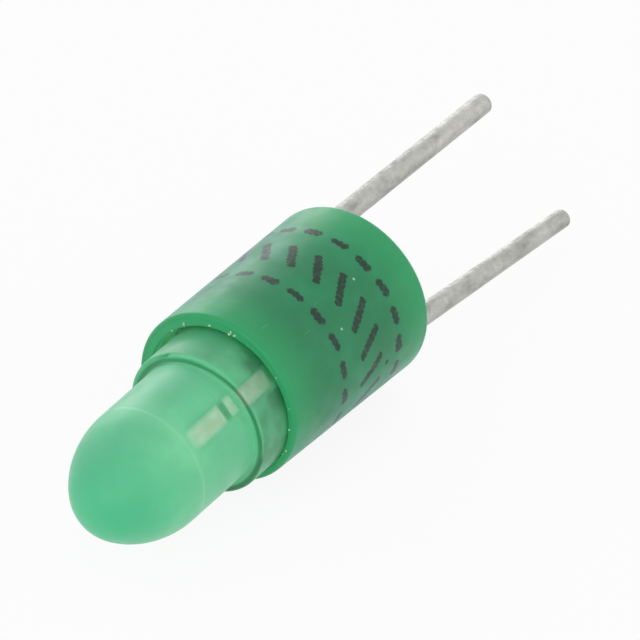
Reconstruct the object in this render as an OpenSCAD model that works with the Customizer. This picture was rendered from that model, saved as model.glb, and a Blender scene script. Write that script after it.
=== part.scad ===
// Bi-pin indicator lamp: a T-1 LED in a moulded sleeve of T-1 1/4 size, on two wire pins.
//
// Frame: the lamp lies on its side. Its axis is Y, the dome points to -Y and the pins to +Y, +Z is up.
// The origin is the centre of the seating face, the ring round the pins that meets the socket.
// Every piece is drawn in an axial frame first: z runs forward from the seating face to the dome,
// y is up. The module lying() turns that frame into the lying one.

/* [Housing] */
// Length of the sleeve, from the seating face to the front rim
housing_length = 5; // [4:0.1:8]
// Diameter of the sleeve at the seating face
housing_d = 4; // [3.4:0.05:6]
// Draft of the mould: how much smaller the radius is at the front rim
housing_draft = 0.05; // [0:0.01:0.1]
// Wall of the rim round the LED's recess, before the core shift
rim_wall = 0.22; // [0.18:0.01:0.28]
// Least width of the ledge that the LED's flange sits on
ledge_width = 0.044; // [0.03:0.002:0.1]
// Radius of the rounded front rim
rim_round = 0.1; // [0.04:0.01:0.12]
// Radius of the rounded rear edge
rear_round = 0.14; // [0.04:0.01:0.2]
// How far the core of the mould stood off centre, which leaves the rim thinner on one side
core_shift = 0.066; // [0:0.002:0.08]
// Direction of the core shift round the axis, in degrees from +X towards +Z
core_shift_angle = -40.7; // [-180:0.1:180]

/* [LED] */
// Radial clearance round the LED's flange in its recess
flange_clearance = 0.07; // [0.05:0.005:0.1]
// Least gap between the flange and its recess, on the side that the LED stands towards
flange_gap = 0.02; // [0.01:0.005:0.04]
// How far the flange stands out from the LED's body
flange_step = 0.23; // [0.15:0.01:0.3]
// Height of the flange that stands proud of the rim
flange_proud = 0.87; // [0.6:0.01:1.5]
// Height of the flange that is hidden in the housing
flange_sunk = 0.53; // [0.4:0.01:0.7]
// Radius of the rounded front edge of the flange
flange_round = 0.07; // [0.02:0.01:0.12]
// Depth of the flat that marks the cathode side of the flange
flat_depth = 0.16; // [0.05:0.01:0.2]
// Length of the straight part of the LED's body
led_straight = 1.82; // [1.5:0.01:3]
// Height of the dome
dome_height = 1.99; // [1.6:0.01:3]
// How much smaller the radius of the dome's nose is than the LED's body
nose_inset = 0.33; // [0.25:0.01:0.5]
// Lean of the LED, dome downwards, in degrees
led_lean = 2.9; // [0:0.1:3.5]
// Turn of the LED's lead frame round its own axis, in degrees from +X towards +Z
led_roll = 41.6; // [0:0.1:90]

/* [Lead frame] */
// Distance from the flange's edge to the outside of a lead
lead_margin = 0.21; // [0.21:0.01:0.3]
// Width of a lead, along the line that joins the two
lead_width = 0.5; // [0.4:0.01:0.6]
// Thickness of the sheet that the lead frame is stamped from
frame_thickness = 0.45; // [0.3:0.01:0.55]
// Depth of the leads' shoulders below the flange's front face
shoulder_depth = 0.21; // [0.1:0.01:0.3]
// How far the necks stand in from the outside of the leads
neck_inset = 0.35; // [0.25:0.01:0.4]
// Height above the flange's front face at which the necks widen again
neck_rise = 0.47; // [0.3:0.01:0.6]
// Distance from the top of the lead frame to the start of the dome
frame_cover = 0.33; // [0.2:0.01:0.5]
// Resin beside the posts of the lead frame
post_cover = 0.16; // [0.1:0.01:0.25]
// Gap between the reflector cup and the anode's post
cup_gap = 0.16; // [0.1:0.01:0.2]
// Diameter of the reflector cup at its lip
cup_d = 0.88; // [0.74:0.01:1]
// Wall of the reflector cup at its lip
cup_wall = 0.08; // [0.05:0.01:0.1]
// Depth of the reflector cup
cup_depth = 0.26; // [0.22:0.01:0.32]
// How much the cup's radius shrinks from its lip to its floor
cup_taper = 0.13; // [0.08:0.01:0.16]
// Side of the square LED chip
chip_side = 0.24; // [0.18:0.01:0.28]
// Height of the LED chip
chip_height = 0.12; // [0.08:0.01:0.15]
// Thickness of the silver-filled glue under the chip
glue_thickness = 0.03; // [0.02:0.005:0.04]
// How far the glue spreads beyond the chip's side
glue_spread = 0.025; // [0.01:0.005:0.03]
// Diameter of the bond wire
bond_wire_d = 0.05; // [0.03:0.005:0.06]
// How far onto the anode's post the bond wire lands
bond_landing = 0.18; // [0.1:0.01:0.25]

/* [Base and pins] */
// Diameter of the two pins
pin_d = 0.5; // [0.4:0.01:0.6]
// Length of the pins behind the seating face
pin_length = 6.56; // [4:0.01:12]
// Distance from the pins to the edge of the base disc
pin_margin = 0.13; // [0.1:0.01:0.3]
// Turn of the pair of pins round the axis, in degrees from +X towards +Z
pin_roll = 133.3; // [90:0.1:180]
// Outward bend of the cathode pin where it leaves the base, in degrees
pin_bend = 3.25; // [0:0.05:6]
// Rounding of the cut ends of the pins
pin_end_round = 0.07; // [0.02:0.01:0.1]
// Thickness of the base disc
base_thickness = 0.8; // [0.66:0.01:1.2]
// Radial clearance of the base disc in the housing
base_clearance = 0.02; // [0.01:0.005:0.03]
// Length of the flattened stretch that anchors each pin in the base disc
pin_flat_length = 0.55; // [0.52:0.01:0.6]
// Thickness of a pin where it is flattened
pin_flat_thickness = 0.36; // [0.3:0.01:0.4]
// Width of a pin where it is flattened
pin_flat_width = 0.62; // [0.6:0.01:0.7]
// Distance from the base disc's rear face to the flattened stretch
pin_flat_depth = 0.1; // [0.05:0.01:0.15]
// How far the base disc is set back from the seating face
base_setback = 0.05; // [0.02:0.01:0.1]
// Gap between the pins and the wall of the potting cavity
cavity_gap = 0.05; // [0.03:0.01:0.07]

/* [Carrier board] */
// Thickness of the carrier board
board_thickness = 0.4; // [0.3:0.05:0.6]
// Space between the board's front face and the ledge that the LED sits on
board_gap = 1.09; // [0.9:0.01:1.3]
// Radial clearance between the board and the wall of the cavity
board_clearance = 0.03; // [0.02:0.005:0.05]
// Clearance of the wires in the notches of the board
notch_clearance = 0.04; // [0.03:0.005:0.06]
// How far the wires stand through the board
wire_stand = 0.25; // [0.25:0.01:0.4]
// Height of a solder fillet
fillet_height = 0.2; // [0.1:0.01:0.24]
// How far a solder fillet spreads beyond its wire
fillet_spread = 0.2; // [0.12:0.01:0.24]
// Thickness of the solder left at the top of a fillet
fillet_tip = 0.035; // [0.02:0.005:0.05]

/* [Chip parts] */
// Length of the resistor and the diode
chip_part_length = 1; // [0.8:0.05:1.2]
// Width of the resistor and the diode
chip_part_width = 0.5; // [0.4:0.05:0.6]
// Height of the resistor and the diode
chip_part_height = 0.35; // [0.25:0.01:0.45]
// Length of a metal end cap
end_cap_length = 0.22; // [0.15:0.01:0.3]
// How far the end caps stand proud of the ceramic
end_cap_proud = 0.02; // [0.01:0.005:0.03]

/* [Hidden] */
$fn = 96;
// Overlap that lets a cut pass through the face it starts from
through = 0.2;

// Housing
rear_r = housing_d / 2;
front_r = rear_r - housing_draft;
recess_r = front_r - rim_wall;
core_place = core_shift * [cos(core_shift_angle), sin(core_shift_angle), 0];

// LED, in its own frame: the origin is on the LED's axis in the plane of the rim
flange_r = recess_r - flange_clearance;
flange_d = 2 * flange_r;
flange_flat = flange_r - flat_depth;
led_r = flange_r - flange_step;
led_offset = flange_clearance - flange_gap;
led_place = core_place + led_offset * [cos(core_shift_angle), sin(core_shift_angle), 0]
    + [0, 0, housing_length];
// The leaning flange touches the ledge with its lowest edge
recess_depth = flange_sunk * cos(led_lean) + flange_r * sin(led_lean);
ledge_height = housing_length - recess_depth;
dome_base = flange_proud + led_straight;
// The dome is two arcs: a flank that leaves the straight side without a kink, and a nose
dome_nose_r = led_r - nose_inset;
nose_drop = dome_height - dome_nose_r;
flank_inset = (nose_drop ^ 2 - nose_inset ^ 2) / (2 * nose_inset);
flank_r = led_r + flank_inset;
arc_joint = nose_drop * (1 + dome_nose_r / norm([flank_inset, nose_drop]));

// Base and pins
pin_r = pin_d / 2;
cavity_r = recess_r - core_shift - ledge_width;
pin_radius = cavity_r - cavity_gap - pin_r;
base_r = pin_radius + pin_r + pin_margin;
base_seat_r = base_r + base_clearance;
base_top = base_setback + base_thickness;
flat_start = base_setback + pin_flat_depth;
flat_end = flat_start + pin_flat_length;

// Carrier board
board_r = cavity_r - board_clearance;
board_top = ledge_height - board_gap;
board_height = board_top - board_thickness;
pin_top = board_top + wire_stand;

// Lead frame
lead_outer = flange_r - lead_margin;
lead_inner = lead_outer - lead_width;
lead_radius = (lead_inner + lead_outer) / 2;
// The leads end behind the carrier board
lead_end = board_height - wire_stand - housing_length;
shoulder_height = flange_proud - shoulder_depth;
neck_outer = lead_outer - neck_inset;
neck_top = flange_proud + neck_rise;
frame_top = dome_base - frame_cover;
post_outer = led_r - post_cover;
cup_r = cup_d / 2;
cup_mouth_r = cup_r - cup_wall;
post_inner = cup_r + cup_gap;
cup_floor = frame_top - cup_depth;
chip_base = cup_floor + glue_thickness;
chip_top = chip_base + chip_height;
bond_r = (post_inner + bond_landing) / 2;

// Turns the axial frame into the lying one
module lying() {
    rotate([90, 0, 0]) children();
}

// Puts a piece of the LED in its leaning place
module at_led() {
    translate(led_place) rotate([led_lean, 0, 0]) rotate([0, 0, led_roll]) children();
}

// A quarter disc, the section of a rounded corner
module quarter(r) {
    intersection() {
        circle(r);
        square(r + through);
    }
}

// A block between two corners
module block(low, high) {
    translate(low) cube(high - low);
}

// ---- housing ----

module housing_section() {
    polygon([[0, rear_round], [rear_r, rear_round], [front_r, housing_length - rim_round],
        [0, housing_length - rim_round]]);
    translate([0, housing_length - rim_round]) square([front_r - rim_round, rim_round]);
    translate([front_r - rim_round, housing_length - rim_round]) quarter(rim_round);
    square([rear_r - rear_round, rear_round]);
    translate([rear_r - rear_round, rear_round]) mirror([0, 1]) quarter(rear_round);
}

module housing() {
    color("#2f9160") lying() difference() {
        rotate_extrude() housing_section();
        translate(core_place + [0, 0, ledge_height])
            cylinder(r = recess_r, h = recess_depth + through);
        cylinder(r = cavity_r, h = housing_length);
        translate([0, 0, -through]) cylinder(r = base_seat_r, h = through + base_top);
    }
}

// ---- base and pins ----

// The part of a pin inside the lamp, from a given depth, with its flattened anchor
module pin_stem(start = 0) {
    translate([0, 0, start]) cylinder(r = pin_r, h = flat_start - start);
    block([-pin_flat_thickness / 2, -pin_flat_width / 2, flat_start],
        [pin_flat_thickness / 2, pin_flat_width / 2, flat_end]);
    translate([0, 0, flat_end]) cylinder(r = pin_r, h = pin_top - flat_end);
}

// A pin behind the seating face, of a given length, with its cut edge rounded
module pin_tail(length, overlap = 0) {
    rotate_extrude() {
        translate([0, -length + pin_end_round]) square([pin_r, length - pin_end_round + overlap]);
        translate([0, -length]) square([pin_r - pin_end_round, pin_end_round]);
        translate([pin_r - pin_end_round, -length + pin_end_round])
            mirror([0, 1]) quarter(pin_end_round);
    }
}

module at_pin(side) {
    rotate([0, 0, pin_roll + (side > 0 ? 0 : 180)]) translate([pin_radius, 0, 0]) children();
}

module pin_anode() {
    color("#b9bab4") lying() at_pin(1) {
        pin_stem();
        pin_tail(pin_length);
    }
}

// The half of space in front of the plane of the bend, or with -1 the half behind it
module bend_half(side) {
    reach = pin_length + pin_d;
    rotate([0, -pin_bend / 2, 0]) translate([-pin_d, -pin_d, side > 0 ? 0 : -reach])
        cube([2 * pin_d, 2 * pin_d, reach]);
}

// The two straights of the bent pin meet in the plane that halves the bend
module pin_cathode() {
    color("#b9bab4") lying() at_pin(-1) {
        intersection() {
            pin_stem(-pin_d);
            bend_half(1);
        }
        intersection() {
            rotate([0, -pin_bend, 0]) pin_tail(pin_length, pin_d);
            bend_half(-1);
        }
    }
}

// The disc is moulded round the pins
module base_disc() {
    color("#2b8658") lying() difference() {
        translate([0, 0, base_setback]) cylinder(r = base_r, h = base_thickness);
        for (side = [1, -1]) at_pin(side) pin_stem();
    }
}

// ---- LED ----

module lens_section() {
    translate([0, -flange_sunk]) square([flange_r, flange_sunk + flange_proud - flange_round]);
    translate([0, flange_proud - flange_round]) square([flange_r - flange_round, flange_round]);
    translate([flange_r - flange_round, flange_proud - flange_round]) quarter(flange_round);
    square([led_r, dome_base]);
    translate([0, dome_base]) {
        intersection() {
            translate([-flank_inset, 0]) circle(flank_r);
            square([led_r, arc_joint]);
        }
        intersection() {
            translate([0, nose_drop]) circle(dome_nose_r);
            translate([0, arc_joint]) square(led_r);
        }
    }
}

module led_lens() {
    color("#63c596") lying() at_led() difference() {
        rotate_extrude() lens_section();
        translate([-flange_flat - flange_r, -flange_r, -flange_sunk - through])
            cube([flange_r, flange_d, flange_sunk + flange_proud + through]);
        anode_form();
        cathode_form();
        chip_form();
        glue_form();
        bond_form();
    }
}

// A flat piece of the lead frame's sheet, between two corners in its own plane
module strip(low, high) {
    block([low.x, -frame_thickness / 2, low.y], [high.x, frame_thickness / 2, high.y]);
}

module anode_form() {
    strip([lead_inner, lead_end], [lead_outer, shoulder_height]);
    strip([post_inner, shoulder_height - lead_width], [neck_outer, neck_top]);
    strip([post_inner, neck_top], [post_outer, frame_top]);
}

module cathode_form() {
    strip([-lead_outer, lead_end], [-lead_inner, shoulder_height]);
    strip([-neck_outer, shoulder_height - lead_width], [0, neck_top]);
    difference() {
        union() {
            strip([-post_outer, neck_top], [0, frame_top]);
            translate([0, 0, neck_top - lead_width])
                cylinder(r1 = frame_thickness / 2, r2 = cup_r, h = frame_top - neck_top + lead_width);
        }
        translate([0, 0, cup_floor])
            cylinder(r1 = cup_mouth_r - cup_taper, r2 = cup_mouth_r, h = cup_depth);
    }
}

module chip_form() {
    translate([-chip_side / 2, -chip_side / 2, chip_base]) cube([chip_side, chip_side, chip_height]);
}

module glue_form() {
    translate([0, 0, cup_floor]) cylinder(r = chip_side / 2 + glue_spread, h = glue_thickness);
}

module bond_form() {
    translate([0, 0, chip_top]) cylinder(d = bond_wire_d, h = frame_top - chip_top);
    translate([bond_r, 0, frame_top]) rotate([90, 0, 0])
        rotate_extrude(angle = 180) translate([bond_r, 0]) circle(d = bond_wire_d, $fn = 24);
}

module anode_frame() {
    color("#c9c2b4") lying() at_led() anode_form();
}

module cathode_frame() {
    color("#c9c2b4") lying() at_led() cathode_form();
}

module led_chip() {
    color("#e8d24a") lying() at_led() chip_form();
}

module chip_glue() {
    color("#d8d8d8") lying() at_led() glue_form();
}

module bond_wire() {
    color("#e2b54c") lying() at_led() bond_form();
}

// ---- carrier board ----

// A notch in the board's edge for a lead of the LED
module lead_notch(side) {
    at_led() block([side > 0 ? lead_inner - notch_clearance : -board_r * 2,
        -frame_thickness / 2 - notch_clearance, lead_end - through],
        [side > 0 ? board_r * 2 : -lead_inner + notch_clearance,
        frame_thickness / 2 + notch_clearance, -flange_sunk]);
}

// A notch in the board's edge for a pin
module pin_notch(side) {
    width = pin_d + 2 * notch_clearance;
    at_pin(side) translate([0, 0, board_height - through]) {
        cylinder(d = width, h = board_thickness + 2 * through);
        translate([0, -width / 2, 0]) cube([board_r, width, board_thickness + 2 * through]);
    }
}

module board_form() {
    difference() {
        translate([0, 0, board_height]) cylinder(r = board_r, h = board_thickness);
        for (side = [1, -1]) {
            lead_notch(side);
            pin_notch(side);
        }
    }
}

module carrier_board() {
    color("#3d6b3a") lying() board_form();
}

// Puts a chip part on the middle of the board's front face, along the line of the leads,
// or with -1 on its rear face, along the line of the pins
module at_chip_part(side) {
    rotate([0, 0, side > 0 ? led_roll + 90 : pin_roll - 90])
        translate([0, 0, side > 0 ? board_top : board_height - chip_part_height]) children();
}

module chip_part_body() {
    block([-chip_part_width / 2 + end_cap_proud, -chip_part_length / 2 + end_cap_length, 0],
        [chip_part_width / 2 - end_cap_proud, chip_part_length / 2 - end_cap_length, chip_part_height]);
}

module chip_part_caps() {
    for (end = [0, 180]) rotate([0, 0, end])
        block([-chip_part_width / 2, chip_part_length / 2 - end_cap_length, 0],
            [chip_part_width / 2, chip_part_length / 2, chip_part_height]);
}

module resistor_body() {
    color("#23211f") lying() at_chip_part(1) chip_part_body();
}

module resistor_caps() {
    color("#c4c4c0") lying() at_chip_part(1) chip_part_caps();
}

module diode_body() {
    color("#4a4540") lying() at_chip_part(-1) chip_part_body();
}

module diode_caps() {
    color("#c4c4c0") lying() at_chip_part(-1) chip_part_caps();
}

// ---- solder and potting ----

// A cone of solder that rises round a wire
module fillet(wire_r) {
    cylinder(r1 = wire_r + fillet_spread, r2 = wire_r + fillet_tip, h = fillet_height);
}

module pin_joint(side) {
    difference() {
        intersection() {
            at_pin(side) translate([0, 0, board_top]) fillet(pin_r);
            cylinder(r = board_r, h = ledge_height);
        }
        at_pin(side) pin_stem();
    }
}

module lead_joint(side) {
    lead_half = norm([lead_width, frame_thickness]) / 2;
    difference() {
        intersection() {
            translate([0, 0, board_height]) mirror([0, 0, 1]) rotate([0, 0, led_roll])
                translate([side * lead_radius, 0, 0]) fillet(lead_half);
            cylinder(r = board_r, h = ledge_height);
        }
        at_led() anode_form();
        at_led() cathode_form();
    }
}

module solder_joints() {
    color("#cfd0cd") lying() for (side = [1, -1]) {
        pin_joint(side);
        lead_joint(side);
    }
}

module potting() {
    color("#2a2c2b") lying() difference() {
        translate([0, 0, base_top]) cylinder(r = cavity_r, h = ledge_height - base_top);
        for (side = [1, -1]) {
            at_pin(side) pin_stem();
            at_chip_part(side) chip_part_body();
            at_chip_part(side) chip_part_caps();
            pin_joint(side);
            lead_joint(side);
        }
        at_led() anode_form();
        at_led() cathode_form();
        at_led() rotate_extrude() lens_section();
        board_form();
    }
}

housing();
base_disc();
pin_anode();
pin_cathode();
led_lens();
anode_frame();
cathode_frame();
led_chip();
chip_glue();
bond_wire();
carrier_board();
resistor_body();
resistor_caps();
diode_body();
diode_caps();
solder_joints();
potting();
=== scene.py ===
"""Bi-pin indicator lamp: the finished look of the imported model.

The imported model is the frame. The pieces made here stand for the nodes that show, and every node
that stays gets its finish. Sizes are in metres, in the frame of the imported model: the lamp lies on
its side along Y, its dome towards -Y and its pins towards +Y, with +Z up.
"""

import math

import bmesh
import bpy
from bpy.props import FloatProperty, FloatVectorProperty, PointerProperty
from mathutils import Matrix, Vector


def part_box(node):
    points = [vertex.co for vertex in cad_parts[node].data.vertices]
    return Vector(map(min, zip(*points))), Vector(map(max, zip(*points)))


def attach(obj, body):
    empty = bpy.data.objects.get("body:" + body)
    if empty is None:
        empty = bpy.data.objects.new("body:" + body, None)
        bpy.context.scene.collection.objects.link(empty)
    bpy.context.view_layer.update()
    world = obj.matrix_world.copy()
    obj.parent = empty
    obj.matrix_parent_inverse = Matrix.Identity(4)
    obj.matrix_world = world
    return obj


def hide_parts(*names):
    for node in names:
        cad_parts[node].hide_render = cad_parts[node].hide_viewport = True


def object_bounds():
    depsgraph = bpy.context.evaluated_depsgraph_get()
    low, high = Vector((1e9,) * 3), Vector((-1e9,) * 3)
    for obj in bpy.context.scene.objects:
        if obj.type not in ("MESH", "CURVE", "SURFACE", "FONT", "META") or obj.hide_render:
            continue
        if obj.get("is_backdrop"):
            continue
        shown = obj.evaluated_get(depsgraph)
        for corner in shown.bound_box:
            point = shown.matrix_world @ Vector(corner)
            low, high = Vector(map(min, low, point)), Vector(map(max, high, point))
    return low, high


bl_info = {
    "name": "Bi-pin indicator lamp",
    "version": (1, 0, 0),
    "blender": (4, 5, 0),
    "location": "3D View > Sidebar > Lamp",
    "description": "Builds the pieces, finishes and studio of a small bi-pin LED lamp",
    "category": "Add Mesh",
}

MM = 0.001
# two places closer than this are one
TINY = 1e-9
WHITE = (1, 1, 1, 1)
# how finely the turned forms are drawn
SKIN_SEGMENTS, DEPTH_SEGMENTS = 256, 128
EDGE_STEPS, FILLET_STEPS, DOME_STEPS = 10, 6, 40

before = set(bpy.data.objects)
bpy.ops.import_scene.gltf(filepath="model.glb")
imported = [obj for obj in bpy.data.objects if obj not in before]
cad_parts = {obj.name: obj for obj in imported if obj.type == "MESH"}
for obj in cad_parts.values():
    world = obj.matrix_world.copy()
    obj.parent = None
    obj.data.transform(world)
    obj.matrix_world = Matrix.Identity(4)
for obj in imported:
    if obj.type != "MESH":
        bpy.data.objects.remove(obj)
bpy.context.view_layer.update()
SLEEVE_LOW, SLEEVE_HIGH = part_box("housing")
DISC_LOW, DISC_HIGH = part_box("base_disc")
DISC_RADIUS = (DISC_HIGH.x - DISC_LOW.x) / 2
PIN_LOW, PIN_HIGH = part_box("pin_anode")

# The axial frame of the lamp: z runs forward to the dome, y is up
LYING = Matrix.Rotation(math.radians(90), 4, "X")


def linear(hex_colour):
    """An sRGB hex colour as linear RGBA."""
    values = [int(hex_colour[i : i + 2], 16) / 255 for i in (1, 3, 5)]
    return tuple(v / 12.92 if v <= 0.04045 else ((v + 0.055) / 1.055) ** 2.4 for v in values) + (1.0,)


def length(name, description, default):
    """A size, in metres."""
    return FloatProperty(
        name=name, description=description, default=default, unit="LENGTH", subtype="DISTANCE"
    )


def turn(name, description, degrees):
    """An angle, given in degrees."""
    return FloatProperty(name=name, description=description, default=math.radians(degrees), subtype="ANGLE")


def colour(name, description, hex_colour):
    """A colour, given in sRGB."""
    shade = linear(hex_colour)
    return FloatVectorProperty(
        name=name, description=description, default=shade, size=4, subtype="COLOR", min=0, max=1
    )


class LampSleeve(bpy.types.PropertyGroup):
    length: length("Length", "From the seating face to the front rim", SLEEVE_HIGH.y - SLEEVE_LOW.y)
    rear_radius: length("Rear radius", "Outside, at the seating face", (SLEEVE_HIGH.x - SLEEVE_LOW.x) / 2)
    draft: length("Draft", "How much smaller the radius is at the rim", 0.05 * MM)
    rim_wall: length("Rim wall", "Wall round the recess, before the core shift", 0.22 * MM)
    rim_round: length("Rim round", "Radius of the rounded front rim", 0.1 * MM)
    rear_round: length("Rear round", "Radius of the rounded rear edge", 0.14 * MM)
    lip_round: length("Lip round", "Radius of the inner edge of the rim", 0.03 * MM)
    core_shift: length("Core shift", "How far the recess is off centre", 0.066 * MM)
    core_angle: turn("Core angle", "Direction of the core shift", -40.7)
    cavity_radius: length("Cavity radius", "Of the potting cavity", 1.62 * MM)
    seat_radius: length("Disc seat radius", "Of the seat of the base disc", DISC_RADIUS + 0.02 * MM)
    seat_depth: length("Disc seat depth", "Of the seat of the base disc", -DISC_LOW.y)


class LampLed(bpy.types.PropertyGroup):
    flange_clearance: length("Flange clearance", "Round the flange in the recess", 0.07 * MM)
    flange_gap: length("Flange gap", "Least gap between flange and recess", 0.02 * MM)
    flange_step: length("Flange step", "How far the flange stands out", 0.23 * MM)
    flange_proud: length("Flange proud", "Height of the flange in front of the rim", 0.87 * MM)
    flange_sunk: length("Flange sunk", "Height of the flange behind the rim", 0.53 * MM)
    flange_round: length("Flange round", "Radius of the flange's front edge", 0.07 * MM)
    step_round: length("Step round", "Radius where the body rises from the flange", 0.05 * MM)
    flat_depth: length("Flat depth", "Of the flat on the cathode side", 0.16 * MM)
    lead_face: length("Lead face", "Radius just under the outer face of the lead", 1.44 * MM)
    shoulder: length("Shoulder", "Where the lead steps in", 0.64 * MM)
    neck_face: length("Neck face", "Radius just under the outer face of the neck", 1.085 * MM)
    neck_top: length("Neck top", "Where the neck ends", 1.3 * MM)
    clear_depth: length("Clear depth", "How far into the epoxy the eye reaches", 0.27 * MM)
    straight: length("Straight part", "Length of the straight part of the body", 1.82 * MM)
    dome_height: length("Dome height", "From the straight part to the tip", 1.99 * MM)
    nose_inset: length("Nose inset", "How much smaller the nose's radius is", 0.33 * MM)
    lean: turn("Lean", "Dome downwards", 2.9)
    roll: turn("Roll", "Turn of the lead frame round the LED's axis", 41.6)


class LampPins(bpy.types.PropertyGroup):
    diameter: length("Diameter", "Of the tinned wire", 0.5 * MM)
    straight_tip: length("Straight pin's tip", "The tin coat thins towards the cut end", 0.475 * MM)
    bent_tip: length("Bent pin's tip", "The tin coat thins towards the cut end", 0.425 * MM)
    free_length: length("Free length", "Behind the seating face", PIN_HIGH.y)
    inner_length: length("Inner length", "Inside the sleeve", -PIN_LOW.y)
    spacing: length("Spacing", "Between the pins where they leave the base", 2.64 * MM)
    end_round: length("End round", "Rounding of the cut ends", 0.07 * MM)
    roll: turn("Roll", "Turn of the pair round the axis", 133.3)
    bend: turn("Bend", "Outward bend of the cathode pin", 3.25)
    coat_lumps: length("Coat lumps", "Height of the unevenness of the tin coat", 0.008 * MM)


class LampColours(bpy.types.PropertyGroup):
    sleeve: colour("Sleeve", "Green moulded polyamide", "#1F9060")
    sleeve_deep: colour("Sleeve, deep", "Where the colour flows thicker", "#1A7F50")
    # painted light: the glow of light through the thin wall round the recess
    sleeve_painted_glow: colour("Sleeve, thin", "Where light comes through the wall", "#8AE0B2")
    # painted light: the lighter colour of the sleeve's two ends
    sleeve_painted_lit_ends: colour("Sleeve, lit ends", "Towards the ends", "#29AA68")
    ink: colour("Ink", "The printed band", "#0E3323")
    lens: colour("Lens", "Tinted epoxy", "#80DFAC")
    lens_deep: colour("Lens, deep", "Where the tint is stronger", "#66CC98")
    lens_tip: colour("Lens, tip", "Where the dome is thickest", "#54CA97")
    lens_flange: colour("Lens, flange", "Tinted epoxy of the flange", "#449B6A")
    lens_core: colour("Lens, core", "Where light from all sides meets", "#7AD8A8")
    # painted shade: the dark ring at the flange's front, the shade beside the lead and the shade on the
    # frame's step
    lens_painted_shade: colour("Lens, dark", "Where an edge bends the light away", "#257A4E")
    lead_frame: colour("Lead frame", "Silver plate", "#F2FAEA")
    tin: colour("Tin", "Hot-dipped tin", "#BDBDB8")
    floor: colour("Floor", "Studio floor", "#F4F4F4")


class LampStudio(bpy.types.PropertyGroup):
    floor_size: length("Floor size", "Side of the floor", 1.2)
    view_distance: length("View distance", "From the camera to the rim", 211 * MM)
    focal: FloatProperty(name="Focal length", description="Of the camera, in millimetres", default=573.6)
    world: FloatProperty(name="World", description="Strength of the sky light", default=0.86, min=0)
    opening: FloatProperty(
        name="Opening", description="Strength of the sky in the tent's opening", default=0.62, min=0
    )
    speck_density: FloatProperty(
        name="Specks", description="Dust specks a square metre of seam", default=2.6e7, min=0
    )


def settings():
    """The sizes and colours that the panel shows."""
    return bpy.context.scene.lamp


class LampSettings(bpy.types.PropertyGroup):
    sleeve: PointerProperty(type=LampSleeve)
    led: PointerProperty(type=LampLed)
    pins: PointerProperty(type=LampPins)
    colours: PointerProperty(type=LampColours)
    studio: PointerProperty(type=LampStudio)


# ---- places ----


def core_centre(sleeve):
    """The centre of the recess in the axial frame."""
    return Vector((math.cos(sleeve.core_angle), math.sin(sleeve.core_angle), 0)) * sleeve.core_shift


def led_place(sleeve, led):
    """From the LED's own frame to the frame of the model."""
    offset = led.flange_clearance - led.flange_gap
    centre = Vector((math.cos(sleeve.core_angle), math.sin(sleeve.core_angle), 0))
    centre *= sleeve.core_shift + offset
    centre.z = sleeve.length
    lean = Matrix.Rotation(led.lean, 4, "X")
    return LYING @ Matrix.Translation(centre) @ lean @ Matrix.Rotation(led.roll, 4, "Z")


def pin_place(pins, half_turn):
    """From a pin's own frame, with z forward, to the frame of the model."""
    roll = Matrix.Rotation(pins.roll + (math.pi if half_turn else 0), 4, "Z")
    return LYING @ roll @ Matrix.Translation((pins.spacing / 2, 0, 0))


# ---- meshes ----


def arc(centre_r, centre_z, radius, start, end, steps):
    """Points (r, z) of an arc, with its angles in degrees."""
    angles = [math.radians(start + (end - start) * i / steps) for i in range(steps + 1)]
    return [(centre_r + radius * math.cos(a), centre_z + radius * math.sin(a)) for a in angles]


def turned_mesh(name, profile, segments, place, closed=False, change=None):
    """A turned form. Each profile point is (r, z) or (r, z, centre); r = 0 closes an end.

    change moves a point of the form in its own frame, as for a flat."""
    mesh = bmesh.new()
    own = mesh.verts.layers.float_vector.new("own_place")
    rows = []
    for point in profile:
        r, z = point[0], point[1]
        centre = point[2] if len(point) > 2 else Vector((0, 0, 0))
        count = 1 if r <= TINY else segments
        row = []
        for i in range(count):
            a = 2 * math.pi * i / count
            co = centre + Vector((r * math.cos(a), r * math.sin(a), z))
            co = change(co) if change else co
            vertex = mesh.verts.new(place @ co)
            vertex[own] = co / MM
            row.append(vertex)
        rows.append(row)
    pairs = list(zip(rows, rows[1:])) + ([(rows[-1], rows[0])] if closed else [])
    for low, high in pairs:
        for i in range(segments):
            j = (i + 1) % segments
            if len(low) == 1:
                mesh.faces.new((low[0], high[j], high[i]))
            elif len(high) == 1:
                mesh.faces.new((low[i], low[j], high[0]))
            else:
                mesh.faces.new((low[i], low[j], high[j], high[i]))
    bmesh.ops.recalc_face_normals(mesh, faces=mesh.faces)
    return finished(name, mesh)


def finished(name, mesh):
    """An object from a bmesh, smooth but for its sharp edges."""
    sharp = math.radians(35)
    data = bpy.data.meshes.new(name)
    mesh.to_mesh(data)
    mesh.free()
    data.polygons.foreach_set("use_smooth", [True] * len(data.polygons))
    data.set_sharp_from_angle(angle=sharp)
    piece = bpy.data.objects.new(name, data)
    bpy.context.scene.collection.objects.link(piece)
    return piece


def settle(piece, material, slot, *nodes):
    """Gives a piece its material and its place in the frame."""
    piece.data.materials.clear()
    piece.data.materials.append(material)
    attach(piece, "root")
    if nodes:
        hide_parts(*nodes)


# ---- nodes ----

MATH, MAP, MIX = "ShaderNodeMath", "ShaderNodeMapRange", "ShaderNodeMix"
NOISE, BUMP, SPLIT = "ShaderNodeTexNoise", "ShaderNodeBump", "ShaderNodeSeparateXYZ"
PRINCIPLED = "ShaderNodeBsdfPrincipled"
SMOOTH = {"interpolation_type": "SMOOTHSTEP"}
COLOURS = {"data_type": "RGBA", "out": 2}
# how far red, green and blue light go into the tinted epoxy, against each other
EPOXY_REACH = (0.4, 1.0, 0.65)


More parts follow.
